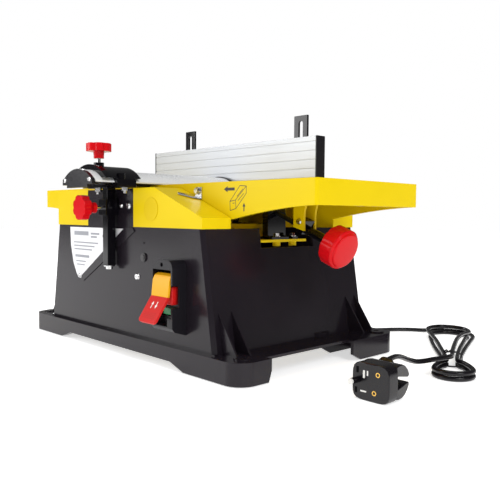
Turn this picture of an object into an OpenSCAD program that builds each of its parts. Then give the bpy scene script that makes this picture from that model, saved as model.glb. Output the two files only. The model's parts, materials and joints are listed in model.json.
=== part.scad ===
// Six inch bench-top jointer: moulded base, cast tables, cutterhead, fence, bar guard and mains lead.
// Millimetres. Origin on the floor at the centre of the base, +X to the infeed end, +Y to the fence, +Z up.

/* [Tables] */
// Half of the overall length over both tables
table_half_l = 368.5; // [320:0.5:420]
// Half of the table width
table_half_w = 114.4; // [100:0.2:130]
// Height of the table top above the floor
table_z = 271.4; // [270:0.1:275]
// Thickness of the table plate
table_t = 8; // [6:1:10]
// Slope of the infeed ways in degrees
ways_angle = 21.5; // [20:0.5:23]

/* [Base] */
// Half of the length of the base at its top
base_half_l = 210; // [205:1:215]
// Half of the width of the base
base_half_w = 167.6; // [165:0.2:172]
// Height of the base's top edge
base_z = 204; // [200:1:206]
// Half of the length of the foot flange
flange_half_l = 297.5; // [290:0.5:310]
// Half of the width of the foot flange
flange_half_w = 177.5; // [175:0.5:185]
// Height of the foot flange
flange_h = 33; // [28:1:36]
// Wall thickness of the base moulding
wall = 4; // [3:0.5:5]

/* [Mounting holes] */
// Hole spacing along the base
hole_pitch_x = 550; // [540:1:555]
// Hole spacing across the base
hole_pitch_y = 300; // [290:1:310]
// Radius of the mounting holes
hole_r = 4.5; // [3.5:0.5:5]

/* [Cutterhead] */
// Radius of the drum
drum_r = 25; // [24:0.5:26]
// How far the knives stand out of the drum
knife_out = 1; // [0.8:0.1:1.2]
// Front end of the drum
drum_y0 = -98; // [-100:1:-90]
// Back end of the drum
drum_y1 = 58; // [50:1:60]

/* [Fence] */
// Half of the length of the fence
fence_half_l = 221.5; // [200:0.5:240]
// Front face of the fence
fence_y = 57; // [55:1:62]
// Thickness of the fence
fence_t = 20; // [18:1:22]
// Top of the fence
fence_top = 351; // [340:1:360]

/* [Guard] */
// Centre of the guard along the machine
guard_x = -11; // [-13:1:-9]
// Front end of the guard bar
guard_y0 = -236; // [-240:1:-230]
// Back end of the guard bar
guard_y1 = 54.6; // [50:0.2:54.6]
// Width of the guard bar
guard_w = 90; // [84:1:96]
// Height of the guard bar's crest
guard_top = 292.5; // [290:0.5:295]

/* [Dust port] */
// Outer radius of the dust port
port_r = 31.5; // [30:0.5:33]
// How far the dust port stands out of the back wall
port_out = 32; // [25:1:40]

/* [Hidden] */
$fn = 48;

yellow = [0.96, 0.78, 0.03];
black = [0.13, 0.13, 0.14];
gloss_black = [0.06, 0.06, 0.07];
red = [0.85, 0.08, 0.09];
silver = [0.82, 0.83, 0.84];
steel = [0.62, 0.63, 0.65];
eps = 0.01;

// ---- Shared helpers ----
// A prism whose outline lies in the XZ plane
module xz_prism(points, y0, y1) {
    translate([0, y1, 0])
        rotate([90, 0, 0])
            linear_extrude(y1 - y0)
                polygon(points);
}
// A prism whose outline lies in the YZ plane
module yz_prism(points, x0, x1) {
    translate([x0, 0, 0])
        rotate([90, 0, 90])
            linear_extrude(x1 - x0)
                polygon(points);
}
// A box between two corners
module box(low, high) {
    translate(low)
        cube(high - low);
}
module rod_x(r, x0, x1, y, z) {
    translate([x0, y, z])
        rotate([0, 90, 0])
            cylinder(r = r, h = x1 - x0);
}
module rod_y(r, y0, y1, x, z) {
    translate([x, y1, z])
        rotate([90, 0, 0])
            cylinder(r = r, h = y1 - y0);
}
module rod_z(r, z0, z1, x, y) {
    translate([x, y, z0])
        cylinder(r = r, h = z1 - z0);
}
// A plate with round corners, centred, standing on z = 0
module round_plate(half_l, half_w, h, r) {
    linear_extrude(h)
        round_outline(half_l, half_w, r);
}
module round_outline(half_l, half_w, r) {
    square([2 * (half_l - r), 2 * half_w], center = true);
    square([2 * half_l, 2 * (half_w - r)], center = true);
    for (sx = [-1, 1], sy = [-1, 1])
        translate([sx * (half_l - r), sy * (half_w - r)])
            circle(r);
}
// A hexagon-headed bolt with a washer: the head's base on z = 0, the shank down
module hex_bolt(r, shank, head_r, head_h) {
    cylinder(r = head_r, h = head_h, $fn = 6);
    translate([0, 0, -1.2])
        cylinder(r = head_r * 1.25, h = 1.2);
    translate([0, 0, -shank])
        cylinder(r = r, h = shank);
}
// A pan-headed screw: the head's base on z = 0, the shank down, a cross recess in the head
module pan_screw(r, shank, head_r, head_h) {
    difference() {
        union() {
            cylinder(r1 = head_r, r2 = head_r * 0.75, h = head_h);
            translate([0, 0, -shank])
                cylinder(r = r, h = shank + eps);
        }
        for (turn = [0, 90])
            rotate(turn)
                translate([-head_r * 0.5, -0.4, head_h * 0.5])
                    cube([head_r, 0.8, head_h]);
    }
}
// A lobed knob along +Z: grip on top of a round hub that widens towards it
module star_knob(r, grip_h, hub_r, neck_r, hub_h, lobes) {
    notch_at = 1.16;
    notch_r = 0.27;
    straight = 0.4;
    translate([0, 0, hub_h])
        linear_extrude(grip_h)
            difference() {
                circle(r);
                for (i = [0 : lobes - 1])
                    rotate(360 / lobes * i)
                        translate([r * notch_at, 0])
                            circle(r * notch_r);
            }
    cylinder(r = hub_r, h = hub_h * straight + eps);
    translate([0, 0, hub_h * straight])
        cylinder(r1 = hub_r, r2 = neck_r, h = hub_h * (1 - straight) + eps);
}

// ---- Base ----
wall_foot_x = 237.4;
wall_slope_z = flange_h;
foot_lift = 1.5;
corner_cut = 8;
wall_lean = atan((wall_foot_x - base_half_l) / (base_z - wall_slope_z));
panel_x0 = -100;
panel_x1 = 40;
panel_top = 264;
cut_y0 = -58;
cut_y1 = 59;
cut_z = 175;
port_z = 112;
relief_x = 150;
relief_z = 46;

// X, Z and head radius of the screws in the front wall
wall_screws = [[52, 127, 5.5], [-129, 116, 4], [27, 237, 5.5], [6, 237, 4]];
wall_screw_r = 2;

// Outline of the base's walls in XZ, drawn in by a margin
function shell_outline(inset, low) = [
    [-(wall_foot_x - inset), low], [wall_foot_x - inset, low],
    [wall_foot_x - inset, wall_slope_z], [base_half_l - inset, base_z - (inset > 0 ? inset : 0)],
    [-(base_half_l - inset), base_z - (inset > 0 ? inset : 0)], [-(wall_foot_x - inset), wall_slope_z]];

// A thin triangular rib between the end wall and the flange
module gusset(y, side) {
    rib_t = 3;
    foot_x = 268;
    rib_top = 92;
    reach = base_half_l + (base_z - rib_top) * (wall_foot_x - base_half_l) / (base_z - wall_slope_z);
    xz_prism([[side * (reach - 1), rib_top], [side * foot_x, flange_h - 1], [side * (wall_foot_x - 3), flange_h - 1]],
        y - rib_t / 2, y + rib_t / 2);
}

module foot_flange() {
    corner_r = 28;
    toe = 188;
    arch = 149;
    arch_z = 12;
    difference() {
        translate([0, 0, foot_lift])
            round_plate(flange_half_l, flange_half_w, flange_h - foot_lift, corner_r);
        // hollow under the flange, open below, with a web left round each foot
        for (side = [-1, 1])
            box([side * 264.5 - 27.5, -140, 0], [side * 264.5 + 27.5, 140, flange_h - wall]);
        box([-wall_foot_x + wall, -base_half_w + wall, -1], [wall_foot_x - wall, base_half_w - wall, flange_h + 1]);
        // arch between the feet along the front and the back
        xz_prism([[-toe, -1], [-arch, arch_z], [arch, arch_z], [toe, -1]], -300, 300);
        // arch between the feet on each end
        yz_prism([[-124, -1], [-117, 20], [-40, 27], [35, 24], [84, -1]], -400, 400);
        // the ends are drawn in between the feet
        for (side = [-1, 1])
            box([side * 310 - 24, -118, -1], [side * 310 + 24, 60, flange_h + 1]);
    }
}

module base_housing() {
    color(black)
        difference() {
            union() {
                difference() {
                    xz_prism(shell_outline(0, flange_h - 2), -base_half_w, base_half_w);
                    // the four upright corners are broken
                    for (sx = [-1, 1], sy = [-1, 1])
                        translate([sx * base_half_l, sy * base_half_w, base_z])
                            rotate([0, -sx * wall_lean, 0])
                                rotate([0, 0, 45])
                                    translate([-corner_cut / 2, -corner_cut / 2, flange_h - base_z])
                                        cube([corner_cut, corner_cut, base_z]);
                }
                foot_flange();
                box([panel_x0, -base_half_w, base_z - wall], [panel_x1, -base_half_w + 6, panel_top]);
                for (side = [-1, 1]) {
                    gusset(-152, side);
                    gusset(-128, side);
                    gusset(128, side);
                    gusset(152, side);
                    // round boss in the end flange
                    translate([side * wall_foot_x - 10, 56, flange_h - 6])
                        cylinder(r = 19, h = 12);
                    for (y = [-hole_pitch_y / 2, hole_pitch_y / 2])
                        rod_z(13, flange_h - 4, flange_h + 2, side * hole_pitch_x / 2, y);
                }
                // raised band beside the label
                xz_prism([[-122, 116], [-116, 107], [45, 197], [40, base_z - 1], [18, base_z - 1]],
                    -base_half_w - 1.6, -base_half_w + 1);
            }
            xz_prism(shell_outline(wall, -10), -base_half_w + wall, base_half_w - wall);
            // top opening under the casting
            box([-200, -130, base_z - 10], [200, 130, base_z + 10]);
            // cut-out for the depth screw
            box([190, cut_y0, cut_z], [240, cut_y1, base_z + 1]);
            for (side = [-1, 1], y = [-hole_pitch_y / 2, hole_pitch_y / 2]) {
                rod_z(hole_r, -1, flange_h + 3, side * hole_pitch_x / 2, y);
                // seat for the rubber foot
                rod_z(14.3, -1, foot_lift + 4, side * hole_pitch_x / 2, y);
            }
            rod_y(port_r + 0.4, base_half_w - 10, base_half_w + 10, guard_x, port_z);
            rod_y(6, base_half_w - 10, base_half_w + 10, relief_x, relief_z);
            for (p = wall_screws)
                rod_y(wall_screw_r, -base_half_w - 2, -base_half_w + 4, p[0], p[1]);
            // reset button, small inspection hole
            rod_y(7, -base_half_w - 1, -base_half_w + 10, 70, 158);
            rod_y(1.5, -base_half_w - 1, -base_half_w + 10, 70, 180);
            // opening behind the switch
            box([131, -base_half_w - 1, 72], [169, -base_half_w + 10, 140]);
        }
}

module rubber_feet() {
    color(black)
        for (side = [-1, 1], y = [-hole_pitch_y / 2, hole_pitch_y / 2])
            difference() {
                rod_z(14, 0, foot_lift + 4, side * hole_pitch_x / 2, y);
                rod_z(hole_r, -1, foot_lift + 6, side * hole_pitch_x / 2, y);
            }
}

// ---- Casting and tables ----
cheek_in = table_half_w + 0.6;
cheek_top = 264.4;
slope_x = 96;
slope_end_z = 219.5;
floor_t = 6;
ways_y0 = 60;
ways_y1 = 76;
ways_x0 = 60;
ways_x1 = 150;
ways_z = 250;
level_z = 244;
tan_w = tan(ways_angle);
head_x = guard_x;
head_z = table_z - drum_r - knife_out;
lip = 30;
chute_x0 = -55;
chute_x1 = 32;
chute_y0 = -95;
chute_y1 = 62;
belt_y0 = 86;
belt_y1 = 104;
ledge_y1 = 44;
ledge_top = 187;
ledge_t = 4;
foot_t = 4;
bracket_bolt_x = 203;
bracket_bolt_y = [-14, 22];

// Outline of a cheek in XZ, drawn in by a margin: the front one slopes down past the infeed table's pointer
function cheek_outline(inset, slope_from, slope_to) = [
    [-209 + inset, base_z - (inset > 0 ? 1 : 0)], [base_half_l - inset, base_z - (inset > 0 ? 1 : 0)],
    [base_half_l - inset, slope_to - inset], [slope_from - inset * 0.4, cheek_top - inset],
    [-209 + inset, cheek_top - inset]];
// A hollow cheek, open below
module cheek(y0, y1, slope_from, slope_to) {
    skin = 6;
    difference() {
        xz_prism(cheek_outline(0, slope_from, slope_to), y0, y1);
        xz_prism(cheek_outline(skin, slope_from, slope_to), y0 + skin, y1 - skin);
    }
}

module main_casting() {
    boss_low = 176.5;
    color(yellow)
        difference() {
            union() {
                cheek(-base_half_w, -cheek_in, slope_x, slope_end_z);
                cheek(cheek_in, base_half_w, 194, 232);
                box([-209, -cheek_in - 1, base_z], [153, cheek_in + 1, base_z + floor_t]);
                // inclined ways of the infeed table and level ways of the outfeed table
                for (y = [-ways_y1, ways_y0]) {
                    xz_prism([[ways_x0, base_z + 1], [ways_x1, base_z + 1],
                        [ways_x1, ways_z - (ways_x1 - ways_x0) * tan_w], [ways_x0, ways_z]],
                        y, y + ways_y1 - ways_y0);
                    box([-190, y, base_z + 1], [-80, y + ways_y1 - ways_y0, level_z]);
                }
                // ledge for the depth screw's bracket
                box([146, cut_y0 + 0.5, ledge_top - ledge_t], [212.5, ledge_y1, ledge_top]);
                box([146, cut_y0 + 0.5, ledge_top - ledge_t], [153, ledge_y1, base_z + 1]);
                for (y = bracket_bolt_y)
                    rod_z(6, boss_low, ledge_top - 1, bracket_bolt_x, y);
            }
            // recess that the base's raised panel fills
            box([panel_x0 - 0.3, -base_half_w - 1, base_z - 1],
                [panel_x1 + 0.3, -base_half_w + 6.3, cheek_top + 1]);
            // chip opening, belt slot
            box([chute_x0 + 3, chute_y0 + 3, base_z - 1], [chute_x1 - 3, chute_y1 - 3, base_z + floor_t + 1]);
            box([-76, belt_y0 - 3, base_z - 1], [-6, 112, base_z + floor_t + 1]);
            rod_y(9, -base_half_w - 1, -base_half_w + 7, 88.5, 231.7);
            for (y = bracket_bolt_y)
                rod_z(2.6, boss_low - 1, ledge_top + 1, bracket_bolt_x, y);
        }
}

apron_in = 6;
apron_low = 217.6;
apron_end = 237.1;
// Lower edge of an apron: level between the cheeks, then rising in a curve to the table's end
function apron_z(x) = apron_end - (apron_end - apron_low) * pow((table_half_l - x) / (table_half_l - base_half_l), 1.6);
curve_steps = 10;
function apron_outline(x0) = concat(
    [[x0, table_z], [x0, apron_low]],
    [for (i = [0 : curve_steps])
        let (x = base_half_l + (table_half_l - base_half_l) * i / curve_steps)
        [x, apron_z(x)]],
    [[table_half_l, table_z]]);
function plate_outline(x0) = [[x0, table_z], [x0 - 12, table_z], [x0 - 12, table_z - 3], [x0, table_z - table_t],
    [table_half_l, table_z - table_t], [table_half_l, table_z]];

// A table whose inner end stands at x0, drawn for the infeed side
module table_body(x0) {
    intersection() {
        union() {
            xz_prism(plate_outline(x0), -table_half_w, table_half_w);
            for (y = [-table_half_w, table_half_w - apron_in])
                xz_prism(apron_outline(x0), y, y + apron_in);
            box([table_half_l - apron_in, -table_half_w, apron_end], [table_half_l, table_half_w, table_z]);
            // cross ribs
            for (x = [x0 + 40, 215, 320])
                box([x, -table_half_w, table_z - table_t - 12], [x + 5, table_half_w, table_z - 2]);
        }
        translate([0, 0, 180])
            round_plate(table_half_l, table_half_w, 100, 4);
    }
}

module outfeed_table() {
    color(yellow)
        mirror([1, 0, 0]) {
            table_body(lip - head_x);
            for (side = [-1, 1]) {
                y0 = side > 0 ? ways_y0 : -ways_y1;
                box([80, y0, level_z], [190, y0 + ways_y1 - ways_y0, table_z - 2]);
            }
        }
}

fin_x = 258.5;
fin_y = 12.4;
fin_low = 201;
// Bolt that holds the screw's hanger between the fins, on the screw's own axes
hanger_bolt = [-10.5, 0, -84];
module infeed_table() {
    gap = 0.3;
    end_in = 12;
    top_z = table_z - 2;
    color(yellow)
        difference() {
            union() {
                table_body(lip + head_x);
                for (side = [-1, 1]) {
                    y0 = side > 0 ? ways_y0 : -ways_y1;
                    xz_prism([[ways_x0 + 4, top_z], [ways_x1 - end_in, top_z],
                        [ways_x1 - end_in, ways_z + gap - (ways_x1 - end_in - ways_x0) * tan_w],
                        [ways_x0 + 4, ways_z + gap - 4 * tan_w]], y0, y0 + ways_y1 - ways_y0);
                    // fins that carry the screw's hanger
                    xz_prism([[238, top_z], [fin_x + 14, top_z], [fin_x + 8, 250], [fin_x + 3.5, 239],
                        [fin_x + 0.8, 230], [fin_x, 222], [fin_x, fin_low], [238, fin_low + 5.5]],
                        side * fin_y - 2, side * fin_y + 2);
                }
            }
            // screw for the depth pointer
            rod_y(2.5, -table_half_w - 1, -table_half_w + 7, pointer_bolt[0], pointer_bolt[1]);
            on_screw()
                translate(hanger_bolt)
                    rotate([90, 0, 0])
                        cylinder(r = 2.1, h = 40, center = true);
        }
}

module cheek_cap() {
    color(yellow) {
        rod_y(18, -base_half_w - 0.8, -base_half_w, 88.5, 231.7);
        rod_y(8.9, -base_half_w - eps, -base_half_w + 6, 88.5, 231.7);
    }
}

// ---- Cutterhead ----
journal_r = 7.5;
slot_angle = [35, 215];
module drum() {
    color(steel)
        difference() {
            union() {
                rod_y(drum_r, drum_y0, drum_y1, head_x, head_z);
                rod_y(journal_r, -112, 107, head_x, head_z);
                rod_y(10, drum_y0 - 2, drum_y1 + 2, head_x, head_z);
            }
            for (a = slot_angle)
                translate([head_x, 0, head_z])
                    rotate([0, a, 0])
                        box([-3.2, drum_y0 + 0.5, drum_r - 17], [7.2, drum_y1 - 0.5, drum_r + 5]);
        }
}
module knives() {
    color(silver)
        for (a = slot_angle)
            translate([head_x, 0, head_z])
                rotate([0, a, 0])
                    knife_blade();
}
module knife_blade() {
    xz_prism([[-3.2, drum_r - 15], [-0.2, drum_r - 15], [-0.2, drum_r - 1], [-3.2, drum_r + knife_out - 0.2]],
        drum_y0 + 1, drum_y1 - 1);
}
module gibs() {
    color(steel)
        for (a = slot_angle)
            translate([head_x, 0, head_z])
                rotate([0, a, 0])
                    difference() {
                        box([-0.2, drum_y0 + 1, drum_r - 16], [4.2, drum_y1 - 1, drum_r - 2.2]);
                        for (i = [0 : 3])
                            rod_x(2.5, 1.5, 5, drum_y0 + 20 + i * 38, drum_r - 9);
                    }
}
module gib_screws() {
    color(silver)
        for (a = slot_angle, i = [0 : 3])
            translate([head_x, 0, head_z])
                rotate([0, a, 0])
                    rod_x(2.5, 1.5, 7.2, drum_y0 + 20 + i * 38, drum_r - 9);
}
pulley_r = 20;
module head_pulley() {
    color(steel)
        difference() {
            union() {
                rod_y(pulley_r - 2, belt_y0, belt_y1, head_x, head_z);
                rod_y(pulley_r, belt_y0, belt_y0 + 2, head_x, head_z);
                rod_y(pulley_r, belt_y1 - 2, belt_y1, head_x, head_z);
            }
            rod_y(journal_r, belt_y0 - 1, belt_y1 + 1, head_x, head_z);
        }
}
block_t = 12;
front_block_y = -113.5;
back_block_y = 66;
shoulder_z = 249;
module bearing_blocks() {
    color(steel)
        for (y = [front_block_y, back_block_y])
            difference() {
                union() {
                    box([head_x - 18, y, base_z + floor_t], [head_x + 18, y + block_t, table_z - 6]);
                    box([head_x - 26, y, base_z + floor_t], [head_x + 26, y + block_t, shoulder_z]);
                }
                rod_y(17, y + 1.5, y + block_t + 1, head_x, head_z);
                rod_y(13, y - 1, y + block_t, head_x, head_z);
                for (side = [-1, 1])
                    rod_z(2.6, shoulder_z - 22, shoulder_z + 1, head_x + side * 22, y + block_t / 2);
            }
}
// Cap screws of the bearing blocks and of the depth screw's bracket
module casting_screws() {
    color(silver) {
        for (y = [front_block_y, back_block_y], side = [-1, 1])
            translate([head_x + side * 22, y + block_t / 2, shoulder_z])
                difference() {
                    union() {
                        cylinder(r = 3.9, h = 3.5);
                        translate([0, 0, -20])
                            cylinder(r = 2.6, h = 21);
                    }
                    translate([0, 0, 1.5])
                        cylinder(r = 2, h = 3, $fn = 6);
                }
        for (y = bracket_bolt_y)
            translate([bracket_bolt_x, y, ledge_top + foot_t + 1.2])
                hex_bolt(2.6, 13.5, 5, 4);
    }
}
module bearings() {
    color(silver)
        for (y = [front_block_y, back_block_y])
            difference() {
                rod_y(17, y + 1.5, y + block_t - 0.5, head_x, head_z);
                rod_y(journal_r + 0.05, y, y + block_t + 1, head_x, head_z);
                for (face = [y + 1.5 - 1, y + block_t - 0.5 - 0.8])
                    difference() {
                        rod_y(15, face, face + 1.8, head_x, head_z);
                        rod_y(10, face - 1, face + 3, head_x, head_z);
                    }
            }
}

// ---- Motor, belt, chute ----
motor_x = -122;
motor_z = 98;
motor_r = 46;
motor_y0 = -92;
motor_y1 = 72;
small_r = 13;
module motor_housing() {
    color(black)
        difference() {
            union() {
                rod_y(motor_r, motor_y0 + 14, motor_y1 - 14, motor_x, motor_z);
                rod_y(motor_r - 5, motor_y0, motor_y1, motor_x, motor_z);
                // saddle feet hung from the casting floor
                for (y = [-60, 34])
                    box([motor_x - 40, y, motor_z + 20], [motor_x + 40, y + 18, base_z]);
                // brush caps
                rod_x(7, motor_x - motor_r - 4, motor_x + motor_r + 4, -50, motor_z);
            }
            rod_y(motor_r - 4, motor_y0 + 18, motor_y1 - 18, motor_x, motor_z);
            rod_y(motor_r - 10, motor_y0 + 5, motor_y1 - 6, motor_x, motor_z);
            rod_y(8.3, motor_y1 - 10, motor_y1 + 1, motor_x, motor_z);
            for (i = [0 : 11])
                translate([motor_x, motor_y0 - 1, motor_z])
                    rotate([0, 30 * i, 0])
                        box([-2.5, 0, 20], [2.5, 8, 32]);
        }
}
module rotor() {
    color(steel) {
        rod_y(8, motor_y0 + 20, belt_y1 + 1, motor_x, motor_z);
        rod_y(30, motor_y0 + 40, motor_y1 - 40, motor_x, motor_z);
        // cooling fan
        for (i = [0 : 8])
            translate([motor_x, motor_y1 - 34, motor_z])
                rotate([0, 40 * i, 0])
                    box([-1, 0, 6], [1, 12.5, 32]);
        rod_y(34, motor_y1 - 22, motor_y1 - 20, motor_x, motor_z);
        // small pulley
        rod_y(small_r - 1.5, belt_y0, belt_y1, motor_x, motor_z);
        rod_y(small_r, belt_y0, belt_y0 + 2, motor_x, motor_z);
        rod_y(small_r, belt_y1 - 2, belt_y1, motor_x, motor_z);
    }
}
belt_t = 2;
belt_run = [head_x - motor_x, head_z - motor_z];
belt_len = norm(belt_run);
belt_dir = belt_run / belt_len;
// The belt's outline round both pulleys: the two wraps and the two straight runs between them
module belt_outline(r1, r2) {
    side_sin = (r2 - r1) / belt_len;
    side_cos = sqrt(1 - side_sin * side_sin);
    up = [belt_dir[1], -belt_dir[0]];
    n1 = up * side_cos - belt_dir * side_sin;
    n2 = -up * side_cos - belt_dir * side_sin;
    polygon([[motor_x, motor_z] + n1 * r1, [head_x, head_z] + n1 * r2,
        [head_x, head_z] + n2 * r2, [motor_x, motor_z] + n2 * r1]);
    translate([motor_x, motor_z])
        circle(r1);
    translate([head_x, head_z])
        circle(r2);
}
module drive_belt() {
    color(black)
        translate([0, belt_y1 - 2.4, 0])
            rotate([90, 0, 0])
                linear_extrude(belt_y1 - belt_y0 - 4.8)
                    difference() {
                        belt_outline(small_r - 1.1 + belt_t, pulley_r - 1.6 + belt_t);
                        belt_outline(small_r - 1.1, pulley_r - 1.6);
                    }
}
chute_t = 2.5;
function chute_outline(inset, top) = [
    [chute_y0 + inset, top], [chute_y0 + inset, 186 + inset], [110 + inset * 0.4, 74 + inset],
    [160, 74 + inset], [160, 152 - inset], [84 - inset, 152 - inset], [chute_y1 - inset, 190], [chute_y1 - inset, top]];
module chip_chute() {
    color(black)
        difference() {
            yz_prism(chute_outline(0, base_z), chute_x0, chute_x1);
            yz_prism(chute_outline(chute_t, base_z + 1), chute_x0 + chute_t, chute_x1 - chute_t);
            rod_y(port_r - 3, 150, 170, guard_x, port_z);
        }
}
module dust_port() {
    color(black)
        difference() {
            union() {
                rod_y(port_r, 160, base_half_w + port_out, guard_x, port_z);
                rod_y(port_r + 9, base_half_w, base_half_w + 3, guard_x, port_z);
            }
            rod_y(port_r - 2.5, 159, base_half_w + port_out + 1, guard_x, port_z);
        }
}

// ---- Switch ----
sw_x0 = 125;
sw_x1 = 175;
sw_y = -192;
sw_back = -base_half_w;
sw_low = 52.5;
sw_top = 160;
flap_x0 = 130;
flap_x1 = 170;
hinge_y = -184;
hinge_z = 137;
trunnion_r = 2.5;
module switch_housing() {
    left_r = 22;
    right_r = 12;
    color(black)
        difference() {
            intersection() {
                translate([0, sw_back, 0])
                    rotate([90, 0, 0])
                        linear_extrude(sw_back - sw_y)
                            union() {
                                translate([sw_x0, sw_low])
                                    square([sw_x1 - sw_x0, sw_top - left_r - sw_low]);
                                translate([sw_x0 + left_r, sw_top - left_r])
                                    circle(left_r);
                                translate([sw_x0 + left_r, sw_top - left_r])
                                    square([sw_x1 - sw_x0 - left_r - right_r, left_r]);
                                translate([sw_x1 - right_r, sw_top - right_r])
                                    circle(right_r);
                                translate([sw_x1 - left_r, sw_top - left_r - 1])
                                    square([left_r, left_r - right_r + 1]);
                            }
                yz_prism([[sw_back, sw_low], [sw_y + 4, 59], [sw_y, 64], [sw_y, sw_top + 5], [sw_back, sw_top + 5]],
                    sw_x0 - 5, sw_x1 + 5);
            }
            // pocket that holds the buttons and the flap
            box([sw_x0 + 3.5, sw_y - 5, 78], [sw_x1 - 3.5, sw_back - 5, 146]);
            box([sw_x0 + 3.5, sw_y - 5, 66], [sw_x1 - 12, sw_back - 9, 79]);
            // finger notches in both sides
            box([sw_x0 - 1, sw_y - 1, 93], [sw_x1 + 1, -180, 124]);
            // buttons pass through the pocket's floor
            box([133.5, sw_back - 10, 95.5], [166.5, sw_back + 1, 122.5]);
            box([139.5, sw_back - 10, 80.5], [160.5, sw_back + 1, 91.5]);
            rod_x(trunnion_r + 0.05, sw_x0 + 1, sw_x1 - 1, hinge_y, hinge_z);
            rod_y(3, sw_y - 1, sw_y + 8, 150, 153);
        }
}
flap_split = 108;
module flap_yellow() {
    color([1, 0.72, 0.1]) {
        yz_prism([[-184, 141], [-190, 138], [-193.5, 131], [-196, flap_split],
            [-192.4, flap_split], [-190, 128], [-187, 133], [-184, 133]], flap_x0, flap_x1);
        rod_x(4, flap_x0, flap_x1, hinge_y, hinge_z);
        rod_x(trunnion_r, sw_x0 + 1.5, sw_x1 - 1.5, hinge_y, hinge_z);
    }
}
module flap_red() {
    tip_r = 6;
    color(red)
        difference() {
            yz_prism([[-196, flap_split], [-219, 74], [-216, 72], [-192.4, flap_split - 1], [-192.4, flap_split]],
                flap_x0, flap_x1);
            for (side = [0, 1])
                translate([side > 0 ? flap_x1 : flap_x0, -217.5, 73])
                    rotate([-34, 0, 0])
                        translate([side > 0 ? -tip_r : tip_r, 0, tip_r])
                            rotate([90, 0, 0])
                                difference() {
                                    translate([side > 0 ? 0 : -tip_r - 1, -tip_r - 3, -9])
                                        cube([tip_r + 1, tip_r + 3, 18]);
                                    translate([0, 0, -10])
                                        cylinder(r = tip_r, h = 20);
                                }
        }
}
module stop_button() {
    color(red)
        box([134, -186, 96], [166, sw_back + 4, 122]);
}
module start_button() {
    color([0.1, 0.5, 0.2])
        box([140, -182, 81], [160, sw_back + 4, 91]);
}
module reset_button() {
    color(gloss_black) {
        rod_y(6.7, -base_half_w - 2.5, -base_half_w + 9, 70, 158);
        rod_y(4.4, -base_half_w - 3.5, -base_half_w - 2.5, 70, 158);
    }
}
// Pan-headed screws in the front wall, each with its face to the front
module panel_screws() {
    color(silver)
        for (p = wall_screws)
            translate([p[0], p[0] < panel_x0 ? -base_half_w - label_t : -base_half_w, p[1]])
                rotate([90, 0, 0])
                    pan_screw(wall_screw_r, 3, p[2], 2.6);
}
label_t = 0.6;
module label_plate() {
    color([0.9, 0.9, 0.92])
        difference() {
            xz_prism([[-163, 200.5], [-161, 168], [-152, 137], [-141, 119], [-134, 112], [-126, 111],
                [-122.8, 115.8], [13.4, 200.5]], -base_half_w - label_t, -base_half_w);
            for (p = wall_screws)
                rod_y(wall_screw_r, -base_half_w - 2, -base_half_w + 1, p[0], p[1]);
        }
}

// ---- Depth adjuster ----
screw_y = 0;
pointer_bolt = [136, 259.5];
pointer_t = 1.6;
knob_face = [324.4, 174.3];
screw_r = 4;
screw_bore = 4.1;
// Place children on the screw's axis: +Z of the child points out of the knob's face, 0 at that face
module on_screw() {
    translate([knob_face[0], screw_y, knob_face[1]])
        rotate([0, 90 + ways_angle, 0])
            children();
}
module depth_knob() {
    knob_r = 30;
    flutes = 12;
    flute_r = 12;
    flute_in = 0.7;
    color(red)
        on_screw()
            difference() {
                union() {
                    translate([0, 0, -23])
                        linear_extrude(20.5)
                            difference() {
                                circle(knob_r);
                                for (i = [0 : flutes - 1])
                                    rotate(360 / flutes * (i + 0.5))
                                        translate([knob_r + flute_r - flute_in, 0])
                                            circle(flute_r);
                            }
                    // stepped rim and shallow dome of the face
                    rotate_extrude()
                        polygon([[0, -2.6], [knob_r - 1, -2.6], [knob_r - 2.4, -0.9], [26.4, -0.6], [25.8, 0.4],
                            [25.4, 1.9], [24.4, 2.7], [16, 3.4], [0, 3.6]]);
                    translate([0, 0, -34])
                        cylinder(r = 11, h = 12);
                }
                translate([0, 0, -35])
                    cylinder(r = screw_r, h = 20);
            }
}
hanger_back = -92;
hanger_front = -38;
tube_r = 7;
module depth_screw() {
    color(black)
        on_screw() {
            translate([0, 0, -166])
                cylinder(r = screw_r, h = 151);
            // collars on both sides of the hanger
            translate([0, 0, hanger_front + 0.3])
                cylinder(r = tube_r, h = -hanger_front - 34.3);
            translate([0, 0, hanger_back - 4.3])
                cylinder(r = tube_r, h = 4);
        }
}
module nut_bracket() {
    color(gloss_black)
        difference() {
            union() {
                box([178, -20, ledge_top], [190, 20, 243]);
                // one foot under each bolt
                box([178, -33, ledge_top], [212, 4, ledge_top + foot_t]);
                box([178, 4, ledge_top], [190, 28, ledge_top + foot_t]);
                box([189, 16, ledge_top], [209, 28, ledge_top + foot_t]);
            }
            on_screw()
                translate([0, 0, -180])
                    cylinder(r = screw_bore, h = 60);
            for (y = bracket_bolt_y)
                rod_z(2.6, ledge_top - 1, ledge_top + foot_t + 1, bracket_bolt_x, y);
        }
}
// Tube round the screw, with a block that is bolted between the infeed table's fins
module screw_hanger() {
    block_half = fin_y - 2.1;
    color(gloss_black)
        on_screw()
            difference() {
                union() {
                    translate([0, 0, hanger_back])
                        cylinder(r = tube_r, h = hanger_front - hanger_back);
                    translate([-14, -block_half, hanger_back])
                        cube([14 + tube_r, 2 * block_half, 16]);
                }
                translate([0, 0, hanger_back - 1])
                    cylinder(r = screw_bore, h = hanger_front - hanger_back + 2);
                translate(hanger_bolt)
                    rotate([90, 0, 0])
                        cylinder(r = 2.1, h = 40, center = true);
            }
}
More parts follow.
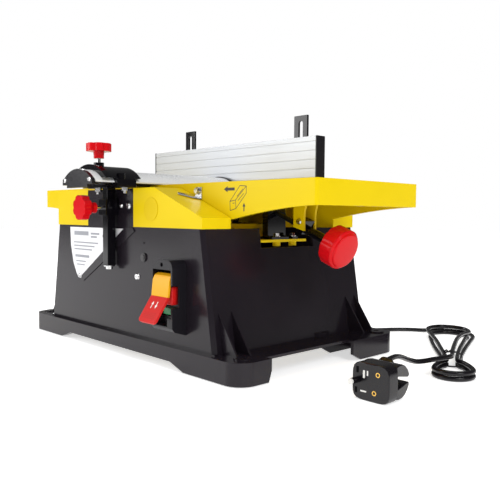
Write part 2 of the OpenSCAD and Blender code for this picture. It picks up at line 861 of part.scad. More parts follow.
// Bolts that hold the hanger and the depth pointer to the infeed table
module table_bolts() {
    color(silver) {
        on_screw()
            translate(hanger_bolt - [0, fin_y + 3.2, 0])
                rotate([90, 0, 0])
                    hex_bolt(2.1, 2 * fin_y + 9, 3.6, 2.8);
        translate([pointer_bolt[0], -table_half_w - pointer_t - 1.2, pointer_bolt[1]])
            rotate([90, 0, 0])
                hex_bolt(2.5, 8.8, 4.2, 3.4);
    }
}
// Leg on the apron and a tab that reaches out over the front cheek's slope
module depth_pointer() {
    // height of the tab's underside, parallel to the slope
    slope_drop = (cheek_top - slope_end_z) / (base_half_l - slope_x);
    low_0 = cheek_top + 1.5 + slope_x * slope_drop;
    x0 = 118;
    x1 = 148;
    color(silver)
        difference() {
            union() {
                xz_prism([[131, low_0 - 131 * slope_drop], [145, low_0 - 145 * slope_drop], [145, 265], [131, 265]],
                    -table_half_w - pointer_t, -table_half_w);
                intersection() {
                    translate([0, 0, 240])
                        linear_extrude(30)
                            polygon([[131, -table_half_w], [145, -table_half_w], [138, -130], [126, -145],
                                [122, -143], [128, -128]]);
                    xz_prism([[x0, low_0 - x0 * slope_drop], [x1, low_0 - x1 * slope_drop],
                        [x1, low_0 - x1 * slope_drop + pointer_t], [x0, low_0 - x0 * slope_drop + pointer_t]],
                        -150, -table_half_w);
                }
            }
            rod_y(2.5, -table_half_w - 3, -table_half_w + 1, pointer_bolt[0], pointer_bolt[1]);
        }
}

// ---- Fence ----
fence_low = 272.3;
cap_t = 3;
plate_x = 152;
plate_half = 15;
plate_y = 95;
plate_t = 4;
plate_top = 394;
pivot_y = 106;
pivot_z = 279;
bolt_z = 320;
module fence() {
    color(silver)
        difference() {
            box([-fence_half_l + cap_t, fence_y, fence_low], [fence_half_l - cap_t, fence_y + fence_t, fence_top]);
            // two hollow chambers and the T-slot at the back
            box([-fence_half_l, fence_y + 3, fence_low + 3], [fence_half_l, fence_y + fence_t - 3, bolt_z - 14]);
            box([-fence_half_l, fence_y + 3, bolt_z + 14], [fence_half_l, fence_y + fence_t - 3, fence_top - 3]);
            box([-fence_half_l, fence_y + 9, bolt_z - 8], [fence_half_l, fence_y + fence_t - 4, bolt_z + 8]);
            box([-fence_half_l, fence_y + fence_t - 5, bolt_z - 4.2], [fence_half_l, fence_y + fence_t + 1, bolt_z + 4.2]);
            // shallow grooves along the face
            for (i = [0 : 4])
                box([-fence_half_l, fence_y - 1, fence_low + 12 + i * 14.4], [fence_half_l, fence_y + 0.7, fence_low + 13.2 + i * 14.4]);
        }
}
module fence_caps() {
    color(black)
        for (side = [-1, 1])
            translate([side > 0 ? fence_half_l - cap_t : -fence_half_l, 0, 0])
                box([0, fence_y - 0.4, fence_low], [cap_t, fence_y + fence_t, fence_top + 0.4]);
}
module fence_plates() {
    color(black)
        for (x = [-plate_x, plate_x])
            difference() {
                union() {
                    box([x - plate_half, plate_y, pivot_z + 8.5], [x + plate_half, plate_y + plate_t, plate_top]);
                    box([x - 9, plate_y, pivot_z - 3], [x + 9, plate_y + plate_t, pivot_z + 9]);
                    // knuckle round the hinge pin
                    box([x - 9, plate_y, pivot_z - 4], [x + 9, pivot_y, pivot_z + 5]);
                    rod_x(6, x - 9, x + 9, pivot_y, pivot_z);
                }
                rod_x(3.05, x - 20, x + 20, pivot_y, pivot_z);
                box([x - 4.5, plate_y - 1, 300], [x + 4.5, plate_y + plate_t + 1, plate_top - 13.5]);
                for (z = [300, plate_top - 13.5])
                    rod_y(4.5, plate_y - 1, plate_y + plate_t + 1, x, z);
            }
}
module fence_bolts() {
    color(silver)
        for (x = [-plate_x, plate_x]) {
            box([x - 7, fence_y + 9.5, bolt_z - 7], [x + 7, fence_y + fence_t - 4.5, bolt_z + 7]);
            rod_y(4, fence_y + fence_t - 5, plate_y + plate_t + 24, x, bolt_z);
            difference() {
                rod_y(8, fence_y + fence_t, plate_y - 0.3, x, bolt_z);
                rod_y(4, fence_y, plate_y + 1, x, bolt_z);
            }
        }
}
module fence_knob(x) {
    color(black)
        difference() {
            translate([x, plate_y + plate_t + 0.3, bolt_z])
                rotate([-90, 0, 0])
                    star_knob(15, 12, 9, 10, 8, 6);
            rod_y(4.05, plate_y, plate_y + plate_t + 24, x, bolt_z);
        }
}
module fence_knob_left() {
    fence_knob(-plate_x);
}
module fence_knob_right() {
    fence_knob(plate_x);
}
module fence_feet() {
    color(black)
        for (x = [-plate_x, plate_x])
            difference() {
                union() {
                    for (side = [-1, 1])
                        yz_prism([[100.3, 272.2], [140, 272.2], [140, 278], [112, 286], [100.3, 286]],
                            x + side * 12.5 - 2.5, x + side * 12.5 + 2.5);
                    box([x - 15, 119, cheek_top], [x + 15, 160, 270.4]);
                    box([x - 15, 119, 270], [x + 15, 140, 273]);
                }
                rod_x(3, x - 16, x + 16, pivot_y, pivot_z);
                rod_z(3, 260, 280, x, 150);
            }
}
module fence_pins() {
    color(silver)
        for (x = [-plate_x, plate_x]) {
            rod_x(3, x - 17, x + 17, pivot_y, pivot_z);
            translate([x, 150, 271.6])
                hex_bolt(3, 7.2, 6, 4);
        }
}

// ---- Guard ----
post_half = 7.5;
post_y = -179.5;
post_low = 141.5;
post_top = 265.2;
block_z0 = 222;
block_z1 = 247;
arch_r = (pow(guard_w / 2, 2) + pow(guard_top - 274.5, 2)) / (2 * (guard_top - 274.5));
arch_z = guard_top - arch_r;
bar_low = 272.4;
side_knob_z = 233.5;
top_knob_y = -197.6;
module clamp_block() {
    color(gloss_black)
        difference() {
            box([guard_x - 11, -192, block_z0], [guard_x + 11, -base_half_w, block_z1]);
            box([guard_x - post_half - 0.3, post_y - post_half - 0.3, block_z0 - 1],
                [guard_x + post_half + 0.3, post_y + post_half + 0.3, block_z1 + 1]);
            rod_y(3.05, -193, -186, guard_x, side_knob_z);
        }
}
module guard_post() {
    tube_t = 1.6;
    color(gloss_black)
        difference() {
            box([guard_x - post_half, post_y - post_half, post_low], [guard_x + post_half, post_y + post_half, post_top]);
            box([guard_x - post_half + tube_t, post_y - post_half + tube_t, post_low - 1],
                [guard_x + post_half - tube_t, post_y + post_half - tube_t, post_top + 1]);
        }
}
saddle_bolt_x = 41;
saddle_bolt_y = -175;
module post_bolts() {
    color(silver) {
        rod_z(9, post_low - 1.8, post_low, guard_x, post_y);
        translate([guard_x, post_y, post_low - 1.8])
            rotate([180, 0, 0])
                cylinder(r = 5.5, h = 4.5, $fn = 6);
        rod_z(3, post_low - eps, post_low + 20, guard_x, post_y);
        for (side = [-1, 1])
            translate([guard_x + side * saddle_bolt_x, saddle_bolt_y, post_top])
                rotate([180, 0, 0]) {
                    cylinder(r = 5.8, h = 5, $fn = 6);
                    translate([0, 0, 5])
                        cylinder(r = 3, h = 4);
                    translate([0, 0, -6])
                        cylinder(r = 3, h = 6);
                }
    }
}
// Outline of the space under an arch of the guard's radius plus a margin, down to a level
module arch_outline(margin, low, half_w) {
    intersection() {
        translate([guard_x, arch_z])
            circle(arch_r + margin);
        translate([guard_x - half_w, low])
            square([2 * half_w, 60]);
    }
}
module saddle() {
    saddle_y0 = -217;
    saddle_y1 = -152;
    skirt_y0 = -197;
    skirt_y1 = -163;
    skirt_z = 279;
    lug_top = 286.5;
    color(gloss_black)
        difference() {
            union() {
                translate([0, saddle_y1, 0])
                    rotate([90, 0, 0])
                        linear_extrude(saddle_y1 - saddle_y0)
                            union() {
                                arch_outline(6.5, 268, 53);
                                translate([guard_x - 53, post_top])
                                    square([106, 12]);
                            }
                // rib over the front end and boss for the lock knob
                translate([0, saddle_y0 + 10, 0])
                    rotate([90, 0, 0])
                        linear_extrude(10)
                            arch_outline(8.5, 270, 53);
                rod_z(8, guard_top + 3, 304.5, guard_x, top_knob_y);
                // lugs over the two bolts
                for (side = [-1, 1])
                    rod_z(6.5, 270, lug_top, guard_x + side * (saddle_bolt_x + 4), saddle_bolt_y - 10);
            }
            translate([0, saddle_y1 + 1, 0])
                rotate([90, 0, 0])
                    linear_extrude(saddle_y1 - saddle_y0 + 2)
                        arch_outline(0.4, bar_low - 0.8, guard_w / 2 + 0.4);
            rod_z(3.05, guard_top - 5, 310, guard_x, top_knob_y);
            for (side = [-1, 1])
                rod_z(3, post_top - 1, post_top + 8, guard_x + side * saddle_bolt_x, saddle_bolt_y);
            // the side skirts only stand over the middle, so the bar shows before and behind it
            box([guard_x - 60, saddle_y0 - 1, 260], [guard_x + 60, skirt_y0, skirt_z]);
            box([guard_x - 60, skirt_y1, 260], [guard_x + 60, saddle_y1 + 1, skirt_z]);
        }
}
bar_t = 3;
boss_x = 38.5;
boss_z = 275.6;
module guard_bar() {
    color(silver)
        translate([0, guard_y1 - 4, 0])
            rotate([90, 0, 0])
                linear_extrude(guard_y1 - 4 - guard_y0 - 6)
                    difference() {
                        union() {
                            difference() {
                                arch_outline(0, bar_low, guard_w / 2);
                                arch_outline(-bar_t, bar_low - 1, guard_w / 2 - 1.5);
                            }
                            for (side = [-1, 1])
                                translate([guard_x + side * boss_x, boss_z])
                                    circle(3.2);
                        }
                        bar_holes();
                    }
}
// Screw holes of the guard bar's end plates
module bar_holes() {
    for (side = [-1, 1])
        translate([guard_x + side * boss_x, boss_z])
            circle(1.6);
}
module bar_ends() {
    color(gloss_black) {
        translate([0, guard_y0 + 6, 0])
            rotate([90, 0, 0])
                linear_extrude(6)
                    difference() {
                        union() {
                            arch_outline(0.5, 268.5, guard_w / 2 + 1);
                            translate([guard_x - 32, 264])
                                square([64, 8]);
                        }
                        bar_holes();
                    }
        translate([0, guard_y1, 0])
            rotate([90, 0, 0])
                linear_extrude(4)
                    difference() {
                        arch_outline(2, bar_low, guard_w / 2 + 1.5);
                        bar_holes();
                    }
    }
}
module bar_screws() {
    color(silver)
        for (side = [-1, 1]) {
            translate([guard_x + side * boss_x, guard_y0, boss_z])
                rotate([90, 0, 0])
                    pan_screw(1.6, 16, 3.6, 2.4);
            translate([guard_x + side * boss_x, guard_y1, boss_z])
                rotate([-90, 0, 0])
                    pan_screw(1.6, 14, 3, 1.2);
        }
}
module side_knob() {
    color(red)
        difference() {
            translate([guard_x, -205, side_knob_z])
                rotate([90, 0, 0])
                    star_knob(19.6, 12, 8.5, 15, 15.8, 8);
            rod_y(3, -220, -190, guard_x, side_knob_z);
        }
}
module side_stud() {
    color(silver)
        rod_y(3, -220, post_y - post_half - 0.4, guard_x, side_knob_z);
}
module top_knob() {
    color(red)
        difference() {
            translate([guard_x, top_knob_y, 311])
                star_knob(19.5, 12.6, 8, 8.6, 11, 7);
            rod_z(3, 300, 325, guard_x, top_knob_y);
        }
}
module top_stud() {
    color(silver)
        rod_z(3, guard_top + 0.3, 325, guard_x, top_knob_y);
}

// ---- Mains lead ----
cord_r = 3.6;
exit_p = [relief_x, base_half_w + 34, relief_z];
// Stretch from the strain relief along the floor to the hank's far end
cord_route = [exit_p, [150, 214, 45], [151, 228, 39], [154, 242, 28], [158, 256, 17], [163, 270, 9],
    [170, 285, 5], [179, 302, 4], [190, 320, 4], [203, 337, 4], [218, 352, 4], [235, 364, 5], [246, 370, 6]];
// Stretch from the hank over to the plug
lead_route = [[420, 104, 20], [413, 92, 20], [407, 78, 19], [404, 64, 19.5], [404, 50, 23], [407, 34, 28],
    [411, 16, 34], [415, 0, 38], [418.5, -14, 40], [421, -28, 40], [422, -40, 38]];
hank_far = [288, 362];
hank_near = [446, 92];
far_r = 46;
near_r = 30;
hank_h = 25;
plug_low = [410, -92];
plug_size = [54, 40, 47];

function unit(v) = v / norm(v);
function tangent(p, i) = unit(p[min(i + 1, len(p) - 1)] - p[max(i - 1, 0)]);
function side_of(t) = unit(cross(t, [0, 0, 1]));
function ring(p, i, r, n) = let (t = tangent(p, i), s = side_of(t), u = cross(s, t))
    [for (k = [0 : n - 1]) p[i] + r * (cos(360 * k / n) * s + sin(360 * k / n) * u)];
// One closed tube swept along a list of points
module tube(p, r) {
    n = 10;
    m = len(p);
    points = [for (i = [0 : m - 1]) each ring(p, i, r, n)];
    walls = [for (i = [0 : m - 2], k = [0 : n - 1])
        [i * n + k, i * n + (k + 1) % n, (i + 1) * n + (k + 1) % n, (i + 1) * n + k]];
    polyhedron(points, concat([[for (k = [n - 1 : -1 : 0]) k]], walls, [[for (k = [0 : n - 1]) (m - 1) * n + k]]));
}
module strain_relief() {
    color(gloss_black)
        difference() {
            union() {
                translate([relief_x, base_half_w + 2, relief_z])
                    rotate([-90, 0, 0])
                        cylinder(r1 = 7.5, r2 = 4.8, h = 32);
                rod_y(9.5, base_half_w, base_half_w + 2.5, relief_x, relief_z);
                rod_y(5.9, base_half_w - 8, base_half_w + 1, relief_x, relief_z);
            }
            for (i = [0 : 3])
                difference() {
                    rod_y(9, base_half_w + 8 + i * 6, base_half_w + 10 + i * 6, relief_x, relief_z);
                    rod_y(4.4, base_half_w + 7 + i * 6, base_half_w + 11 + i * 6, relief_x, relief_z);
                }
        }
}
module cord() {
    color(black)
        tube(cord_route, cord_r);
}
module lead() {
    color(black)
        tube(lead_route, cord_r);
}
hank_along = unit(hank_far - hank_near);
hank_across = [-hank_along[1], hank_along[0]];
// Points of a half circle that ends the hank, from one side to the other
function hank_end(centre, r, turn) = [for (i = [0 : 12])
    let (a = turn - 90 + 15 * i)
    centre + r * (cos(a) * hank_along + sin(a) * hank_across)];
module hank() {
    color(black)
        linear_extrude(hank_h)
            polygon(concat(hank_end(hank_far, far_r, 0), hank_end(hank_near, near_r, 180)));
}
module hank_tie() {
    tie_at = hank_near + hank_along * 60;
    half_w = 37;
    color(gloss_black)
        translate([tie_at[0], tie_at[1], 0])
            rotate(atan2(hank_along[1], hank_along[0]))
                difference() {
                    translate([-3, -half_w, 0])
                        cube([6, 2 * half_w, hank_h + 1.5]);
                    translate([-4, -half_w + 1, -1])
                        cube([8, 2 * half_w - 2, hank_h + 1]);
                }
}
module plug() {
    color(gloss_black)
        difference() {
            union() {
                translate([plug_low[0] + plug_size[0] / 2, plug_low[1] + 26, plug_size[2] / 2])
                    rotate([90, 0, 0])
                        round_plate(plug_size[0] / 2, plug_size[2] / 2, 26, 6);
                translate([plug_low[0] + 28, plug_low[1] + 25.9, 22])
                    rotate([-90, 0, 0])
                        cylinder(r1 = 21, r2 = 13, h = 24);
                rod_y(7, plug_low[1] + 25, plug_low[1] + 52, plug_low[0] + 12, 38);
            }
            for (z = [12, 36])
                rod_y(2.2, plug_low[1] - 1, plug_low[1] + 12, plug_low[0] + 43, z);
            for (z = [12, 36])
                box([plug_low[0] + 4, plug_low[1] - 1, z - 3.5], [plug_low[0] + 6.5, plug_low[1] + 10, z + 3.5]);
            rod_y(cord_r, plug_low[1] + 51.9, plug_low[1] + 60, plug_low[0] + 12, 38);
        }
}
module plug_contacts() {
    color([0.75, 0.6, 0.25])
        for (z = [12, 36])
            difference() {
                rod_y(2.2, plug_low[1] - 0.6, plug_low[1] + 11, plug_low[0] + 43, z);
                rod_y(1.3, plug_low[1] - 1, plug_low[1] + 9, plug_low[0] + 43, z);
            }
}

base_housing();
rubber_feet();
main_casting();
outfeed_table();
infeed_table();
drum();
knives();
gibs();
gib_screws();
head_pulley();
bearing_blocks();
casting_screws();
bearings();
motor_housing();
rotor();
drive_belt();
chip_chute();
dust_port();
switch_housing();
flap_yellow();
flap_red();
start_button();
stop_button();
reset_button();
panel_screws();
label_plate();
cheek_cap();
depth_knob();
depth_screw();
nut_bracket();
screw_hanger();
table_bolts();
depth_pointer();
fence();
fence_caps();
fence_plates();
fence_bolts();
fence_knob_left();
fence_knob_right();
fence_feet();
fence_pins();
clamp_block();
guard_post();
post_bolts();
saddle();
guard_bar();
bar_ends();
bar_screws();
side_knob();
side_stud();
top_knob();
top_stud();
strain_relief();
cord();
hank();
hank_tie();
lead();
plug();
plug_contacts();
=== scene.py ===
# Looks of the bench-top jointer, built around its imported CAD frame. Metres, the frame's own axes.
import json
import math
import bpy
import bmesh
from mathutils import Matrix, Vector


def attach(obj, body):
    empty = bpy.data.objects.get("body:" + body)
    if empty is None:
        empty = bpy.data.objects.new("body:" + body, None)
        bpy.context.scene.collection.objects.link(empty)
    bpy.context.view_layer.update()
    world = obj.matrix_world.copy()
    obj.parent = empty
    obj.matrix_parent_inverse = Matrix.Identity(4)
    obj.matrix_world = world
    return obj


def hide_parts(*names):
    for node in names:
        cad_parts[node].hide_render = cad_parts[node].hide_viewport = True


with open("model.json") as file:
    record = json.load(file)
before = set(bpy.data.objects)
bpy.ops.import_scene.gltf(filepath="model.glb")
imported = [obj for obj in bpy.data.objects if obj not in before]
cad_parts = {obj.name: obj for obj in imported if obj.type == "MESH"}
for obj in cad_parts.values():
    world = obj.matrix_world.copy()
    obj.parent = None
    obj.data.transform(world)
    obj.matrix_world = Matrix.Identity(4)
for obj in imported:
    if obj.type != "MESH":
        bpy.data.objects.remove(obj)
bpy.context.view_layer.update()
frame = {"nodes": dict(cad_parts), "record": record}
MM = 0.001


# ---- Camera ----
def place_camera():
    """Three-quarter view from the infeed end, low, with a normal lens."""
    yaw, pitch, roll = math.radians(46.45), math.radians(3.2), math.radians(0.45)
    look = Vector((-math.sin(yaw) * math.cos(pitch), math.cos(yaw) * math.cos(pitch), -math.sin(pitch)))
    right = Vector((math.cos(yaw), math.sin(yaw), 0))
    up = right.cross(look)
    x_axis = right * math.cos(roll) + up * math.sin(roll)
    y_axis = up * math.cos(roll) - right * math.sin(roll)
    camera = bpy.data.objects.new("camera", bpy.data.cameras.new("camera"))
    turn = Matrix((x_axis, y_axis, -look)).transposed().to_4x4()
    camera.matrix_world = Matrix.Translation(Vector((0.8727, -0.7070, 0.2238))) @ turn
    camera.data.sensor_width = 36
    camera.data.lens = 44.94
    bpy.context.scene.collection.objects.link(camera)
    bpy.context.scene.camera = camera


place_camera()


# ---- Materials ----
class Nodes:
    """Short way to write a material's node tree."""

    def __init__(self, name):
        self.material = bpy.data.materials.new(name)
        self.material.use_nodes = True
        self.tree = self.material.node_tree
        self.shader = self.tree.nodes["Principled BSDF"]
        coords = self.tree.nodes.new("ShaderNodeTexCoord")
        self.place = coords.outputs["Object"]

    def add(self, kind, inputs=(), **settings):
        node = self.tree.nodes.new(kind)
        for key, value in settings.items():
            setattr(node, key, value)
        for key, value in dict(inputs).items():
            if isinstance(value, bpy.types.NodeSocket):
                self.tree.links.new(value, node.inputs[key])
            else:
                node.inputs[key].default_value = value
        return node

    def link(self, source, target):
        self.tree.links.new(source, target)

    def noise(self, scale, detail=3.0, place=None, roughness=0.55):
        return self.add("ShaderNodeTexNoise", {"Vector": place or self.place, "Scale": scale,
                                               "Detail": detail, "Roughness": roughness}).outputs["Fac"]

    def stretched(self, x, y, z):
        return self.add("ShaderNodeMapping", {"Vector": self.place, "Scale": (x, y, z)}).outputs["Vector"]

    def span(self, value, low, high, start=0.3, end=0.7):
        return self.add("ShaderNodeMapRange", {"Value": value, "From Min": start, "From Max": end,
                                               "To Min": low, "To Max": high}).outputs["Result"]

    def shade(self, factor, colour_a, colour_b):
        mix = self.add("ShaderNodeMix", data_type="RGBA")
        self.link(factor, mix.inputs["Factor"])
        mix.inputs["A"].default_value = (*colour_a, 1)
        mix.inputs["B"].default_value = (*colour_b, 1)
        return mix.outputs["Result"]

    def bump(self, height, strength, depth, below=None):
        node = self.add("ShaderNodeBump", {"Height": height, "Strength": strength, "Distance": depth})
        if below is not None:
            self.link(below, node.inputs["Normal"])
        return node.outputs["Normal"]


def surface(name, colour, rough, metal=0.0, grain=600.0, bump=0.15, depth=0.0002, vary=0.08,
            rough_vary=0.06, coat=0.0, coat_rough=0.1, stretch=None, specular=0.5):
    """A painted, moulded or ground surface: mottled colour, uneven gloss and a fine grain in relief."""
    n = Nodes(name)
    fine = n.noise(grain, 4.0, place=n.stretched(*stretch) if stretch else None)
    broad = n.noise(9.0, 2.0)
    dark = tuple(c * (1 - vary) for c in colour)
    light = tuple(min(1.0, c * (1 + vary)) for c in colour)
    base = n.shade(n.span(broad, 0.0, 1.0), dark, light)
    n.link(base, n.shader.inputs["Base Color"])
    mixed = n.add("ShaderNodeMath", {0: fine, 1: broad}, operation="MULTIPLY").outputs[0]
    n.link(n.span(mixed, max(0.02, rough - rough_vary), rough + rough_vary, 0.1, 0.45), n.shader.inputs["Roughness"])
    n.link(n.bump(fine, bump, depth), n.shader.inputs["Normal"])
    n.shader.inputs["Metallic"].default_value = metal
    n.shader.inputs["Specular IOR Level"].default_value = specular
    n.shader.inputs["Coat Weight"].default_value = coat
    n.shader.inputs["Coat Roughness"].default_value = coat_rough
    return n.material


YELLOW = (0.75, 0.55, 0.001)
materials = {
    "cast_yellow": surface("yellow_paint", YELLOW, 0.34, grain=650, bump=0.12, vary=0.025, specular=0.10),
    "cap_yellow": surface("yellow_cap", (0.70, 0.50, 0.001), 0.45, grain=900, vary=0.03, specular=0.10),
    "housing_black": surface("moulded_black", (0.0125, 0.0095, 0.0135), 0.20, grain=1500, bump=0.10, vary=0.12,
                             rough_vary=0.04, specular=0.26),
    "trim_black": surface("trim_black", (0.009, 0.008, 0.011), 0.30, grain=1300, bump=0.12, vary=0.1, specular=0.3),
    "bracket_black": surface("powder_black", (0.003, 0.0025, 0.004), 0.09, grain=700, bump=0.03, vary=0.1,
                             rough_vary=0.02, specular=0.36),
    "screw_black": surface("black_oxide", (0.02, 0.02, 0.022), 0.34, metal=0.6, grain=900, vary=0.15),
    "motor_black": surface("motor_black", (0.018, 0.018, 0.02), 0.45, grain=500, vary=0.1),
    "knob_red": surface("knob_red", (0.62, 0.004, 0.008), 0.20, grain=900, bump=0.06, vary=0.04, specular=0.14),
    "flap_red": surface("flap_red", (0.60, 0.016, 0.014), 0.34, grain=900, bump=0.05, vary=0.03, specular=0.22),
    "flap_yellow": surface("flap_yellow", (0.84, 0.40, 0.006), 0.34, grain=900, bump=0.05, vary=0.03, specular=0.22),
    "button_green": surface("button_green", (0.01, 0.22, 0.06), 0.30, grain=800, vary=0.05),
    "button_red": surface("button_red", (0.70, 0.012, 0.012), 0.30, grain=800, vary=0.05),
    "button_black": surface("button_black", (0.016, 0.014, 0.016), 0.28, grain=800, vary=0.05),
    "fasteners": surface("zinc_plate", (0.66, 0.66, 0.66), 0.22, metal=1.0, grain=900, bump=0.08, vary=0.06),
    "extrusion": surface("anodised", (0.53, 0.555, 0.60), 0.34, metal=0.2, grain=420, bump=0.08, vary=0.015,
                         stretch=(0.03, 1, 1)),
    "drum_steel": surface("ground_steel", (0.50, 0.50, 0.51), 0.28, metal=1.0, grain=700, vary=0.06,
                          stretch=(1, 0.05, 1)),
    "knife_steel": surface("honed_steel", (0.66, 0.66, 0.67), 0.18, metal=1.0, grain=900, vary=0.04,
                           stretch=(1, 0.05, 1)),
    "block_iron": surface("machined_iron", (0.30, 0.30, 0.31), 0.42, metal=0.9, grain=500, vary=0.1),
    "pulley_alloy": surface("machined_alloy", (0.62, 0.62, 0.63), 0.34, metal=1.0, grain=600, vary=0.06),
    "rubber": surface("rubber", (0.014, 0.014, 0.014), 0.72, grain=900, bump=0.3, vary=0.15),
    "cord_black": surface("cord_black", (0.005, 0.004, 0.006), 0.26, grain=1400, bump=0.10, vary=0.12,
                          specular=0.36),
    "label_white": surface("label_white", (0.82, 0.82, 0.84), 0.40, grain=500, bump=0.03, vary=0.02),
    "contact_brass": surface("contact_brass", (0.72, 0.44, 0.10), 0.26, metal=1.0, grain=800, vary=0.08),
}
print_black = surface("print_black", (0.018, 0.015, 0.012), 0.5, grain=900, bump=0.03, vary=0.2)
print_grey = surface("print_grey", (0.30, 0.31, 0.34), 0.5, grain=900, bump=0.03, vary=0.1)
print_white = surface("print_white", (0.85, 0.84, 0.82), 0.45, grain=900, bump=0.03, vary=0.03)
# darker red for the flap's grip dots: painted shade in place of the relief of small raised dots
painted_dot_shade = surface("painted_dot_shade", (0.22, 0.006, 0.006), 0.5, grain=900, bump=0.03, vary=0.05)
bright_bar = surface("bright_bar", (0.74, 0.75, 0.76), 0.30, grain=700, bump=0.05, vary=0.03, stretch=(0.05, 1, 1))
# near-black painted shade for the plug's pin slots, standing in for the unlit inside of the holes
painted_slot_shade = surface("painted_slot_shade", (0.001, 0.001, 0.0015), 0.6, grain=900, bump=0.02, vary=0.1, specular=0.05)
nylon_white = surface("nylon_white", (0.75, 0.74, 0.71), 0.4, grain=900, bump=0.05, vary=0.05)
slot_of = {part["node"]: part["material_slot"] for part in frame["record"]["subparts"]}

# ---- CAD nodes: materials and broken edges ----
EDGE_MM = {
    "base_housing": 1.2, "main_casting": 1.6, "infeed_table": 1.3, "outfeed_table": 1.3, "saddle": 1.0,
    "clamp_block": 1.2, "guard_post": 0.8, "side_knob": 2.0, "top_knob": 2.0, "depth_knob": 1.6,
    "fence": 0.35, "fence_caps": 0.8, "fence_plates": 0.6, "plug": 2.0, "switch_housing": 1.2,
    "stop_button": 1.2, "start_button": 1.2, "flap_yellow": 0.8, "flap_red": 0.8, "label_plate": 0.0,
    "guard_bar": 0.3, "bar_ends": 0.8, "nut_bracket": 0.8, "screw_hanger": 0.8, "fence_feet": 0.8,
    "fence_knob_left": 1.5, "fence_knob_right": 1.5, "motor_housing": 1.5, "hank_tie": 0.3,
}
FINE_EDGE = 0.25


def soften(piece, width_mm):
    """Round a solid's sharp edges by a small radius, and shade it smoothly between them."""
    for face in piece.data.polygons:
        face.use_smooth = True
    piece.modifiers.new("join", "WELD").merge_threshold = 2e-6
    planar = piece.modifiers.new("planar", "DECIMATE")
    planar.decimate_type = "DISSOLVE"
    planar.angle_limit = math.radians(0.3)
    if width_mm > 0:
        bevel = piece.modifiers.new("edges", "BEVEL")
        bevel.width = width_mm * MM
        bevel.segments = 3
        bevel.limit_method = "ANGLE"
        bevel.angle_limit = math.radians(32)
        bevel.miter_outer = "MITER_ARC"
    normals = piece.modifiers.new("normals", "WEIGHTED_NORMAL")
    normals.keep_sharp = True
    normals.weight = 80


for node_name, node in frame["nodes"].items():
    node.data.materials.clear()
    node.data.materials.append(bright_bar if node_name == "guard_bar" else materials[slot_of[node_name]])
    soften(node, EDGE_MM.get(node_name, FINE_EDGE))


# ---- Mains lead ----
CORD_R = 3.6
EXIT = (150, 201.6, 46)
# floor stretch from the strain relief to the hank, in mm
FLOOR_ROUTE = [EXIT, (150, 214, 45), (151, 228, 39), (154, 242, 28), (158, 256, 17), (163, 270, 9),
               (170, 285, 5), (179, 302, 4), (190, 320, 4), (203, 337, 4), (218, 351, 4)]
# stretch over the plug's back, in mm
LEAD_ROUTE = [(419, 106, 20), (415, 92, 20), (409.5, 78, 19), (405.5, 64, 19.5), (404.5, 50, 23), (407, 34, 28),
              (411, 16, 34), (415, 0, 38), (418.5, -14, 40), (421, -28, 40), (422, -40, 38)]
HANK_FAR, HANK_NEAR = Vector((288, 362)), Vector((446, 92))
HANK_ALONG = (HANK_FAR - HANK_NEAR).normalized()
HANK_ACROSS = Vector((-HANK_ALONG.y, HANK_ALONG.x))
TIE_U = 60
# turns of the hank: distance from its near end, distance from its middle line, height
FOLD_R = 26.5
NEAR_FOLD = ([(42, -16), (24, -22.5)]
             + [(1.5 + FOLD_R * math.cos(math.radians(a)), FOLD_R * math.sin(math.radians(a)))
                for a in range(280, 79, -25)]
             + [(24, 22.5), (42, 16)])
HANK_ROUTE = (
    [(340, 45, 4), (350, 22, 4), (352, 0, 4), (346, -20, 3.8), (330, -37, 3.8), (300, -44, 3.8), (250, -36, 3.8),
     (200, -27, 3.8), (150, -19, 3.8), (100, -12, 3.8), (60, -8, 3.8)]
    + [(u, v, 3.8) for u, v in NEAR_FOLD]
    + [(60, 8, 3.8), (100, 13, 3.8), (150, 20, 3.8), (200, 26, 3.8), (250, 30, 3.8), (285, 31, 3.8),
       (314, 26, 3.8), (330, 7, 3.8), (328, -14, 3.8), (312, -29, 3.8), (285, -33, 4.2), (250, -28, 8.6),
       (200, -22, 11.2), (150, -15, 11.4), (100, -9.5, 10.8), (60, -8, 10.6)]
    + [(u, v, 11.3) for u, v in NEAR_FOLD]
    + [(60, 8, 10.8), (100, 11, 11.2), (150, 16, 11.4), (200, 21, 11.4), (250, 28, 11.2), (285, 34, 11.6),
       (318, 35, 12.2), (340, 18, 12.8), (343, -8, 12.8), (329, -30, 12.4), (298, -37, 12.4), (250, -23, 16.0),
       (200, -13, 18.2), (150, -7, 18.8), (100, -2, 18.0), (60, 0.5, 17.6), (42, 5, 19.4)])


def hank_point(u, v, z):
    spot = HANK_NEAR + HANK_ALONG * u + HANK_ACROSS * v
    return (spot.x, spot.y, z)


def smooth_line(points, steps=8):
    """A smooth line through all the points (Catmull-Rom), in metres."""
    p = [Vector(point) * MM for point in points]
    p = [2 * p[0] - p[1]] + p + [2 * p[-1] - p[-2]]
    line = []
    for a, b, c, d in zip(p, p[1:], p[2:], p[3:]):
        for i in range(steps):
            t = i / steps
            line.append(0.5 * (2 * b + (c - a) * t + (2 * a - 5 * b + 4 * c - d) * t * t
                               + (3 * b - 3 * c + d - a) * t * t * t))
    return line + [p[-2]]


def curve_piece(name, line, radius, material, body="base", caps=True):
    curve = bpy.data.curves.new(name, "CURVE")
    curve.dimensions = "3D"
    spline = curve.splines.new("POLY")
    spline.points.add(len(line) - 1)
    for point, place in zip(spline.points, line):
        point.co = (*place, 1)
    spline.use_smooth = True
    curve.bevel_depth = radius
    curve.bevel_resolution = 4
    curve.use_fill_caps = caps
    curve.materials.append(material)
    piece = bpy.data.objects.new(name, curve)
    bpy.context.scene.collection.objects.link(piece)
    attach(piece, body)
    return piece


